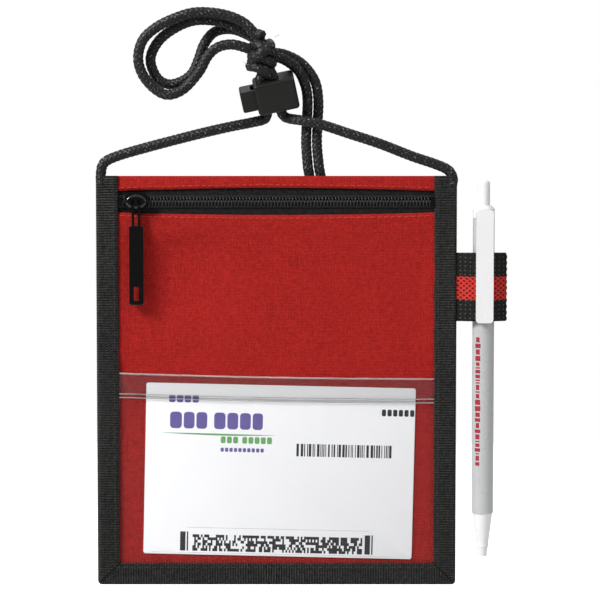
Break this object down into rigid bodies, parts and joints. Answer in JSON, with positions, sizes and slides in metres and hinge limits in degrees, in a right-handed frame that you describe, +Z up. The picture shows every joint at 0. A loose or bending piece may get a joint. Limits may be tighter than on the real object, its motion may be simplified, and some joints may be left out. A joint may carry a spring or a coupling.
{
  "type": "lanyard badge holder",
  "caption": "Flat fabric badge pouch with a zip pocket, a clear card window and a side loop holding a click pen, hung from a round neck cord with a spring cord lock.",
  "frame": {"origin": "centre of the part's footprint, at the height of the pouch's bottom edge", "axes": "+Z up the hanging pouch, -Y out of its front face, +X towards the pen loop"},
  "size_m": [0.1522, 0.0152, 0.2151],
  "materials": {
    "red_fabric": "matte woven polyester",
    "binding_tape": "matte ribbed tape",
    "zip_tape": "matte woven tape",
    "zip_coil": "satin nylon",
    "black_metal": "gloss black enamel",
    "clear_vinyl": "clear gloss",
    "card_stock": "smooth white",
    "webbing": "matte woven webbing",
    "cord": "braided polyester",
    "lock_plastic": "matte moulded",
    "spring_steel": "plain wire",
    "barrel_plastic": "satin silver grey",
    "white_plastic": "gloss white",
    "cam_plastic": "natural moulded",
    "refill_plastic": "translucent tube",
    "tip_brass": "turned"
  },
  "bodies": {
    "lanyard": {"neck_loop": "cord", "cord_knot": "cord", "cord_coils": "cord", "cord_leads": "cord", "lock_body": "lock_plastic", "lock_spring": "spring_steel"},
    "plunger": {"lock_plunger": "lock_plastic"},
    "pouch": {"back_panel": "red_fabric", "front_panel": "red_fabric", "header_band": "red_fabric", "edge_binding": "binding_tape", "zip_tape_upper": "zip_tape", "zip_tape_lower": "zip_tape", "zip_coil_upper": "zip_coil", "zip_coil_lower": "zip_coil", "zip_stops": "black_metal", "clear_window": "clear_vinyl", "pen_loop": "webbing"},
    "zip_slider": {"zip_slider_body": "black_metal", "zip_slider_crown": "black_metal"},
    "zip_pull": {"zip_pull": "black_metal"},
    "badge_card": {"badge_card": "card_stock"},
    "pen": {"pen_barrel": "barrel_plastic", "pen_cap_clip": "white_plastic", "pen_nose_cone": "white_plastic", "pen_spring": "spring_steel"},
    "pen_button": {"pen_button": "white_plastic"},
    "pen_refill": {"pen_cam": "cam_plastic", "pen_refill_tube": "refill_plastic", "pen_refill_tip": "tip_brass"}
  },
  "joints": [
    {"name": "pouch_swing", "type": "hinge", "parent": "lanyard", "child": "pouch", "pos_m": [-0.0094, -0.00032, 0.1544], "axis": [-1, 0, 0], "range_deg": [0, 60]},
    {"name": "lock_press", "type": "slide", "parent": "lanyard", "child": "plunger", "axis": [0.9781, 0, 0.2079], "range_m": [0, 0.0022], "stiffness_N_per_m": 900, "springref_m": -0.001},
    {"name": "zip_run", "type": "slide", "parent": "pouch", "child": "zip_slider", "axis": [1, 0, 0], "range_m": [0, 0.103]},
    {"name": "pull_flip", "type": "hinge", "parent": "zip_slider", "child": "zip_pull", "pos_m": [-0.0611, -0.00347, 0.14125], "axis": [-1, 0, 0], "range_deg": [0, 135]},
    {"name": "card_lift", "type": "slide", "parent": "pouch", "child": "badge_card", "axis": [0, 0, 1], "range_m": [0, 0.058]},
    {"name": "pen_lift", "type": "slide", "parent": "pouch", "child": "pen", "axis": [0, 0, 1], "range_m": [-0.01, 0.115]},
    {"name": "pen_click", "type": "slide", "parent": "pen", "child": "pen_button", "axis": [0, 0, -1], "range_m": [0, 0.004], "stiffness_N_per_m": 400, "springref_m": -0.002},
    {"name": "refill_advance", "type": "slide", "parent": "pen", "child": "pen_refill", "axis": [0, 0, -1], "range_m": [0, 0.004], "deforming": ["pen_spring"]}
  ],
  "couplings": [
    {"joint": "refill_advance", "follows": "pen_click", "ratio": 1}
  ]
}
